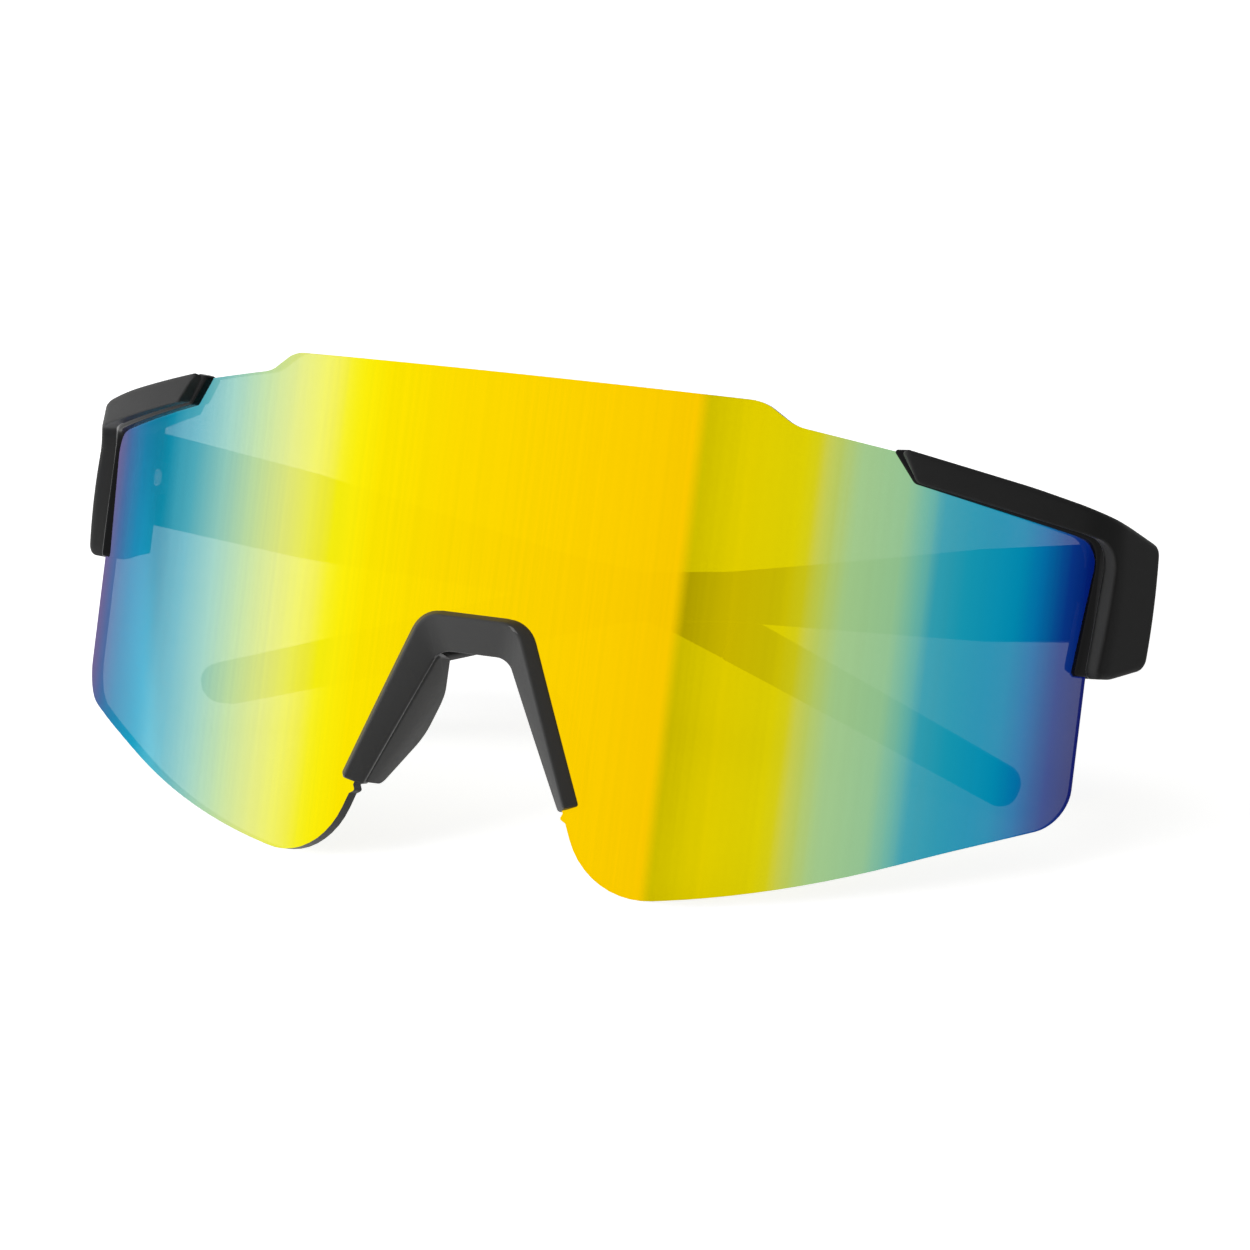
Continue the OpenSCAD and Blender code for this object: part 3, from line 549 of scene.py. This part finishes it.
def trim_bracket(bm, side):
    """Cuts the tongue of the bracket off where the slanted end of the end piece covers it no longer."""
    spot, way = (Vector((side * x, y, z)) for x, y, z in (SLANT_SPOT, SLANT_WAY))
    cut = bmesh.ops.bisect_plane(bm, geom=bm.verts[:] + bm.edges[:] + bm.faces[:], clear_outer=True,
                                 plane_co=STAND @ spot, plane_no=(STAND.to_3x3() @ way).normalized())
    bmesh.ops.holes_fill(bm, edges=[e for e in cut["geom_cut"] if isinstance(e, bmesh.types.BMEdge)])


def reach_forward(bm):
    """Moves the front rim of a pad forwards, into the clip, so that no groove shows between them."""
    for v in bm.verts:
        spot = UPRIGHT @ v.co
        if spot.y - bow(spot.x) < PAD_RIM:
            spot.y -= PAD_REACH
            v.co = STAND @ spot


SIDES = (("left", 1), ("right", -1))
for side, way in SIDES:
    for name, node, width, material, body, slot in (
        ("bracket", "hinge_block", 0.12, frame_black, "front", "frame_black"),
        ("pad", "nose_pad", 0.4, pad_rubber, "front", "pad_rubber"),
        ("temple", "temple_arm", 0.5, frame_black, "temple_" + side, "frame_black"),
        ("tip", "temple_tip", 0.5, tip_rubber, "temple_" + side, "tip_rubber"),
    ):
        cad = node + "_" + side
        piece = rounded_copy(cad, width)
        if name == "bracket":
            trim_bracket(piece, way)
        if name == "pad":
            reach_forward(piece)
        finish_piece(piece, f"{name}_{side}", material, body, [cad])

# %% [markdown]
# ## End pieces
# An end piece follows the lens, turns round a tight corner and runs back to the hinge. Bending a finished
# piece that far would wrinkle it. Unrolled, it is a flat plate instead: u runs along its outer face, z is the
# height, and the depth is square to both. Everything is shaped on that plate, and rolling it up comes last.

# %% Unroll the end piece
PROUD, GASKET_DEPTH, INNER_DEPTH = 3.4, 0.5, -1.5
CORNER = Vector((61.33, 26.301))
CORNER_RADIUS = 5.6
CORNER_START, CORNER_END = math.radians(37.303), math.radians(83)
BEND_U = (LENS_RADIUS + PROUD) * CORNER_START
SIDE_U = BEND_U + (CORNER_RADIUS + PROUD) * (CORNER_END - CORNER_START)
SIDE_LENGTH = 7.707
REAR_U = SIDE_U + SIDE_LENGTH


def rolled(u, depth, z):
    """The place of a point of the plate on the end piece."""
    if u < BEND_U:
        turn, hub, reach = u / (LENS_RADIUS + PROUD), Vector((0, LENS_RADIUS)), LENS_RADIUS + depth
    else:
        turn = min(CORNER_START + (u - BEND_U) / (CORNER_RADIUS + PROUD), CORNER_END)
        hub, reach = CORNER, CORNER_RADIUS + depth
    back = max(0, u - SIDE_U)
    spot = hub + reach * Vector((math.sin(turn), -math.cos(turn)))
    spot += back * Vector((math.cos(CORNER_END), math.sin(CORNER_END)))
    return Vector((spot.x, spot.y, z))


print("the corner begins at", round(BEND_U, 1), "mm and ends at", round(SIDE_U, 1), "mm")

# %% [markdown]
# The outline is drawn once at the outer face and once at the gasket, because the wall beside the window
# slopes. It starts at the slanted end, follows the window round its turn to the foot, and comes back along
# the free edges.

# %% Outline of the plate
WINDOW_RADII = (0.4, 0.9, 3.4, 1.2)
REAR_EDGE = REAR_U + 0.15


def plate_outline(window, top):
    """Corners (u, z, radius): start, band, turn and foot of the window, then the free edges."""
    return [(*p, radius) for p, radius in zip(window, WINDOW_RADII)] + [
        (79.8, 11.0, 5), (REAR_EDGE, 12.6, 1.7), (REAR_EDGE, 27.0, 1.5), (80, 28.8, 40), (66, top, 80)]


FACE = plate_outline([(50.4, 34.55), (52.3, 30.65), (77.2, 26.35), (76.3, 10.9)], 31.9)
BASE = plate_outline([(49.8, 34.35), (52.4, 30.95), (77.7, 26.45), (75.9, 10.7)], 31.5)
print("plate of the end piece:", round(REAR_U - FACE[0][0], 1), "mm long when unrolled")

# %% [markdown]
# The edges of the real piece are rounded widely at the top, rear and foot, and narrowly beside the window. A
# bevel gives all edges one width. Outlines that are inset along quarter circles, each side by its own radius,
# give every side the rounding it needs.

# %% Outline at each depth
WIDE_ROUND, NARROW_ROUND, LEG_ROUND = 0.85, 0.3, 0.5
LEAST_RADIUS = 0.05
WINDOW_CORNERS = 3


def inset(corners, distances):
    """A closed outline with every side moved inwards by its own distance."""
    spots = [Vector((x, z)) for x, z, _ in corners]
    ways = [(spots[(i + 1) % len(spots)] - here).normalized() for i, here in enumerate(spots)]
    result = []
    for i, here in enumerate(spots):
        a, b = ways[i - 1], ways[i]
        na, nb = Vector((-a.y, a.x)), Vector((-b.y, b.x))
        da, db = distances[i - 1], distances[i]
        cross = na.x * nb.y - na.y * nb.x
        moved = here + Vector((da * nb.y - db * na.y, db * na.x - da * nb.x)) / cross
        radius = corners[i][2]
        if i >= WINDOW_CORNERS:
            radius = max(LEAST_RADIUS, radius - (da + db) / 2)
        result.append((moved.x, moved.y, radius))
    return result


def round_inset(radius, depth):
    """How far a quarter circle below the outer face has drawn in at a depth."""
    up = max(0, depth - (PROUD - radius))
    return radius - math.sqrt(radius ** 2 - min(up, radius) ** 2)


def plate_at(depth):
    share = (depth - GASKET_DEPTH) / (PROUD - GASKET_DEPTH)
    mix = [tuple(p + (q - p) * share for p, q in zip(base, face)) for base, face in zip(BASE, FACE)]
    radii = [NARROW_ROUND, NARROW_ROUND, LEG_ROUND] + [WIDE_ROUND] * (len(mix) - 3)
    return inset(mix, [round_inset(radius, depth) for radius in radii])


print("height of the rear at the outer face:", round(plate_at(PROUD)[6][1] - plate_at(PROUD)[5][1], 1), "mm")

# %% [markdown]
# The rear of the plate is a thin wall outside the hinge, with a groove for the hinge's barrel. Before the
# plate is rolled up, its inner vertices there are set to the depth of that wall. The outer face gets its
# crown at the same time: it drops with the square of the height from the middle of the hinge.

# %% Hinge wall and crown
BAY_U = REAR_U - 4.3
AXIS_U = REAR_U - 0.3
BAY_STEP = 0.1
WALL_DEPTH, AXIS_DEPTH, GROOVE_RADIUS = 0.9, 1.0, 1.75
GASKET_HEIGHT = 1.2
CROWN_MIDDLE, CROWN_REACH, CROWN_RATE = 20.0, 9.0, 0.0055
BROW, BROW_FALL = 31.0, 0.25


def crowned(u, depth, z):
    """The depth of a vertex with the hinge wall set and the outer face crowned."""
    if u > BAY_U + BAY_STEP / 2:
        groove = AXIS_DEPTH + math.sqrt(max(0, GROOVE_RADIUS ** 2 - (u - AXIS_U) ** 2))
        depth = max(depth, WALL_DEPTH, groove if u > AXIS_U - GROOVE_RADIUS + 1e-3 else 0)
    share = min(max((depth - GASKET_HEIGHT) / (PROUD - GASKET_HEIGHT), 0), 1)
    fall = CROWN_RATE * min(abs(z - CROWN_MIDDLE), CROWN_REACH) ** 2 + BROW_FALL * max(0, z - BROW)
    return depth - share * fall


print("wall left over the hinge's barrel:", round(PROUD - crowned(AXIS_U, INNER_DEPTH, CROWN_MIDDLE), 2), "mm")

# %% [markdown]
# Neighbouring outlines are bridged, and the first and last are filled. The plate then needs cuts across the
# bend, so that it can follow it, before it is rolled up, mirrored for the right side and stood on the floor.

# %% Bridge, slice and roll up
PLATE_WELD, PLATE_CORNER = 0.01, 35
COARSE_CUTS = [48 + i for i in range(22)]
FINE_CUTS = [BEND_U - 1 + 0.5 * i for i in range(18)]


def bridge_stack(bm, rims):
    for low, high in zip(rims, rims[1:]):
        bmesh.ops.bridge_loops(bm, edges=low + high)
    bmesh.ops.contextual_create(bm, geom=rims[0])
    bmesh.ops.contextual_create(bm, geom=rims[-1])
    slice_at(bm, COARSE_CUTS + FINE_CUTS)


def roll_up(bm, way, shape=None):
    """Bends a plate to the end piece. shape may change the depth of a vertex before."""
    for v in bm.verts:
        u, depth, z = v.co
        if shape:
            depth = shape(u, depth, z)
        v.co = rolled(u, depth, z)
        v.co.x *= way
    bmesh.ops.remove_doubles(bm, verts=bm.verts[:], dist=PLATE_WELD)
    bmesh.ops.transform(bm, matrix=STAND, verts=bm.verts[:])


print("fine cuts from", round(FINE_CUTS[0], 1), "to", round(FINE_CUTS[-1], 1), "mm")

# %% [markdown]
# Both end pieces are built from the same plate. A narrow band of the wall beside the window catches the light
# as a pale line. A lamp for it would spoil the rest, so the line is a painted highlight: its faces get a
# paler, glossier finish of their own.

# %% Build both end pieces
ROUND_STEPS = (0, 20, 38, 52, 64, 74, 82, 90)
HIGHLIGHT_LOW, HIGHLIGHT_HIGH = GASKET_HEIGHT - 0.05, GASKET_HEIGHT + 0.14
HIGHLIGHT_START, HIGHLIGHT_END, HIGHLIGHT_TOP = 70, 79, 28
GROOVE_STEPS = (1, 0.97, 0.85, 0.6, 0.3, 0)
LEVELS = [11.5 + i for i in range(22)]

for name, way in SIDES:
    bm = bmesh.new()
    depths = [HIGHLIGHT_LOW, HIGHLIGHT_HIGH]
    depths += [PROUD - WIDE_ROUND * (1 - math.sin(math.radians(t))) for t in ROUND_STEPS]
    rims = [rounded_path(bm, BASE, depth) for depth in (INNER_DEPTH, GASKET_DEPTH)]
    rims += [rounded_path(bm, plate_at(depth), depth) for depth in depths]
    bridge_stack(bm, rims)
    slice_at(bm, [BAY_U, BAY_U + BAY_STEP] + [AXIS_U - GROOVE_RADIUS * t for t in GROOVE_STEPS])
    slice_at(bm, LEVELS, (0, 0, 1))
    for face in bm.faces:
        u, depth, z = face.calc_center_median()
        # Faces of the band beside the window take the painted highlight.
        in_highlight = HIGHLIGHT_LOW < depth < HIGHLIGHT_HIGH and HIGHLIGHT_START < u < HIGHLIGHT_END
        face.material_index = int(in_highlight and z < HIGHLIGHT_TOP)
    roll_up(bm, way, crowned)
    piece = finish_piece(bm, "end_piece_" + name, frame_black, "front", ["brow_cover_" + name],
                         sharp=PLATE_CORNER)
    piece.data.materials.append(painted_highlight)

# %% [markdown]
# A glossy black lip lies between each end piece and the lens. A tube along the window would be too round. It
# is a narrow plate instead: one side of its outline is the edge that shows, the other is hidden under the end
# piece. It is rounded by insets and rolled up like the end piece.

# %% Build both lips
LIP = [(49.2, 34.2, 0.3), (52.15, 30.6, 1), (76.4, 26.1, 3), (74.2, 10.9, 0.6),
       (76.8, 11.0, 0.3), (78.9, 27.4, 2), (53.2, 31.8, 0.5), (51.2, 34.4, 0.3)]
LIP_ROUND, LIP_BACK = 0.3, -0.2
for name, way in SIDES:
    bm = bmesh.new()
    rims = [rounded_path(bm, LIP, LIP_BACK)]
    for t in (0, 30, 60, 90):
        t = math.radians(t)
        drawn_in = inset(LIP, [LIP_ROUND * (1 - math.cos(t))] * len(LIP))
        rims.append(rounded_path(bm, drawn_in, GASKET_HEIGHT - LIP_ROUND * (1 - math.sin(t))))
    bridge_stack(bm, rims)
    roll_up(bm, way)
    finish_piece(bm, "gasket_" + name, gasket_black, "front", ["rim_gasket_" + name],
                 sharp=PLATE_CORNER)

# %% [markdown]
# ## Nose clip
# The clip is one moulding that straddles the notch of the lens. Its section runs from the outer foot over a
# ridge to the inner edge and back behind the lens. A swept section would be equally wide all along, but the
# real one narrows towards its feet. So each corner of the section is a rail of its own, flat for now.

# %% Rails of the clip
RIDGE = ((14.95, -11.4), (6.3, 9.0))
INNER_FOOT = 0.6


def mirrored_path(half):
    return half + [(-x, z, r) for x, z, r in reversed(half)]


def clip_corners(leg, top, radius):
    """A rail beside the ridge, by one distance along the legs and another over the bridge."""
    foot, head = Vector(RIDGE[0]), Vector(RIDGE[1])
    way = (head - foot).normalized()
    foot += leg * Vector((way.y, -way.x))
    head = foot + way * (RIDGE[1][1] + top - foot.y) / way.y
    return mirrored_path([(foot.x, foot.y, 0), (head.x, head.y, radius)])


def inner_corners(inwards, drop, radius):
    return mirrored_path([(RIDGE[0][0] - inwards, RIDGE[0][1] - INNER_FOOT, 0),
                          (RIDGE[1][0] - inwards, RIDGE[1][1] - drop, radius)])


CLIP_RAILS = (
    (clip_corners(1.25, 0.55, 4.0), -0.1),
    (clip_corners(0.0, 0.0, 3.2), -1.5),
    (inner_corners(1.7, 4.2, 2.6), 0.6),
    (inner_corners(0.9, 3.0, 2.6), 3.1),
    (clip_corners(0.33, 0.17, 3.5), 2.7),
)
print("rails of the clip:", len(CLIP_RAILS))

# %% [markdown]
# The rails have the same number of vertices, so neighbouring rails can be bridged. The ridge and the ends are
# then rounded, and the flat clip is sliced and pushed back to follow the bow of the lens.

# %% Bridge the rails
CLIP_CORNER, CLIP_ROUND = 30, 0.32
CLIP_STRIPS = 15
clip = bmesh.new()
rails = [rounded_path(clip, corners, depth, closed=False, steps=8) for corners, depth in CLIP_RAILS]
for i, edges in enumerate(rails):
    bmesh.ops.bridge_loops(clip, edges=rails[i - 1] + edges)
bmesh.ops.holes_fill(clip, edges=[e for e in clip.edges if len(e.link_faces) == 1])
bmesh.ops.recalc_face_normals(clip, faces=clip.faces[:])
bmesh.ops.bevel(clip, geom=sharp_edges(clip, CLIP_CORNER), offset=CLIP_ROUND, offset_type="OFFSET",
                segments=4, profile=0.5, affect="EDGES", clamp_overlap=True, material=-1)
slice_both_sides(clip, [STRIP * (1 + i) for i in range(CLIP_STRIPS)])
for v in clip.verts:
    v.co.y += bow(v.co.x)
bmesh.ops.transform(clip, matrix=STAND, verts=clip.verts[:])
finish_piece(clip, "clip", clip_grey, "front", ["nose_bridge"])

# %% [markdown]
# The coat of the lens mirrors the studio. Seen at a low angle it would also mirror the end pieces and the
# hinges beside it, so the dark pieces are left out of its reflections.

# %% Keep the mirror clear
dark = [o for o in bpy.data.objects if o.type == "MESH" and o is not lens_piece]
for piece in dark:
    piece.visible_glossy = False
print("pieces the mirror leaves out:", len(dark))

# %% [markdown]
# ## Studio
# The floor is a large white plane under the lowest point of the glasses. Lamps alone would leave it grey, so
# it also glows where the camera sees it, and a little less where the mirror does. It still takes the shadow.
# When a temple is opened, it dips below the floor, because the glasses keep leaning back as they do here.

# %% Floor
FLOOR_SIZE = 6
FLOOR_GAP = 0.0001
FLOOR_GLOW, MIRRORED_GLOW = 0.8, 0.85
lowest = min(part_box(n)[0].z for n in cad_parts)
bpy.ops.mesh.primitive_plane_add(size=FLOOR_SIZE, location=(0, 0, lowest - FLOOR_GAP))
floor = bpy.context.object
floor.name = "floor"
paper, shader, m, place = new_material("paper", Base_Color=(0.8, 0.8, 0.8, 1), Roughness=0.9,
                                       Specular_IOR_Level=0.0)
seen = m.node("ShaderNodeLightPath")
lit = m.maths("MAXIMUM", seen, seen.sibling("Is Glossy Ray") * MIRRORED_GLOW)
glow = m.node("ShaderNodeEmission", Color=(1, 1, 1, 1), Strength=lit * FLOOR_GLOW)
show(m, m.node("ShaderNodeAddShader", i0=Socket(m.tree, shader.outputs[0]), i1=glow))
floor.data.materials.append(paper)
print("floor at", round(lowest / MM, 2), "mm")

# %% [markdown]
# Everything around is white too. A white world would light the black plastic from all sides and flatten it,
# so it is white only where the camera, a mirror or clear plastic looks, and dim as a lamp.

# %% World
ROOM_LIGHT = 0.12
world = bpy.data.worlds.new("studio")
bpy.context.scene.world = world
world.use_nodes = True
w = Socket(world.node_tree)
sky = world.node_tree.nodes["Background"]
rays = w.node("ShaderNodeLightPath")
bent = w.maths("MAXIMUM", rays.sibling("Is Glossy Ray"), rays.sibling("Is Transmission Ray"))
feed(sky, Strength=ROOM_LIGHT + w.maths("MAXIMUM", rays, bent) * (1 - ROOM_LIGHT))
sky.inputs["Color"].default_value = (1, 1, 1, 1)
print("light of the room:", ROOM_LIGHT)

# %% [markdown]
# A soft lamp, low in front and to the wearer's right, gives shape to the black plastic, and a weak one above
# lights the upper edges. The mirror doesn't show either of them.

# %% Lamps
def soft_lamp(name, place, size, watts):
    data = bpy.data.lights.new(name, "AREA")
    data.size, data.energy = size, watts
    lamp = bpy.data.objects.new(name, data)
    bpy.context.scene.collection.objects.link(lamp)
    lamp.location = place
    lamp.rotation_euler = (-Vector(place)).to_track_quat("-Z", "Y").to_euler()
    lamp.visible_glossy = False
    print(name, "lamp of", watts, "W")


soft_lamp("key", (-0.55, -0.45, 0.12), 0.5, 9.0)
soft_lamp("top", (-0.1, 0.1, 0.8), 0.6, 1.5)

# %% [markdown]
# ## Camera
# The camera looks slightly from the wearer's left and level with the leaning lens, turned a little about its
# own axis. Its lens is long, so that the glasses aren't distorted.

# %% Camera
back = Vector((0.47437838, -0.80000636, 0.36736219))
right = Vector((0.8735999, 0.47927603, -0.08436642))
turn = Matrix((right, back.cross(right), back)).transposed().to_4x4()
camera = bpy.data.objects.new("camera", bpy.data.cameras.new("camera"))
bpy.context.scene.collection.objects.link(camera)
camera.matrix_world = Matrix.Translation((0.37561767, -0.59619563, 0.28019178)) @ turn
camera.data.lens = 187.2
camera.data.sensor_width = 36
camera.data.shift_x = -0.00752
camera.data.clip_start = 0.05
bpy.context.scene.camera = camera
bpy.context.scene.view_settings.view_transform = "Standard"
print("camera lens:", round(camera.data.lens, 1), "mm")
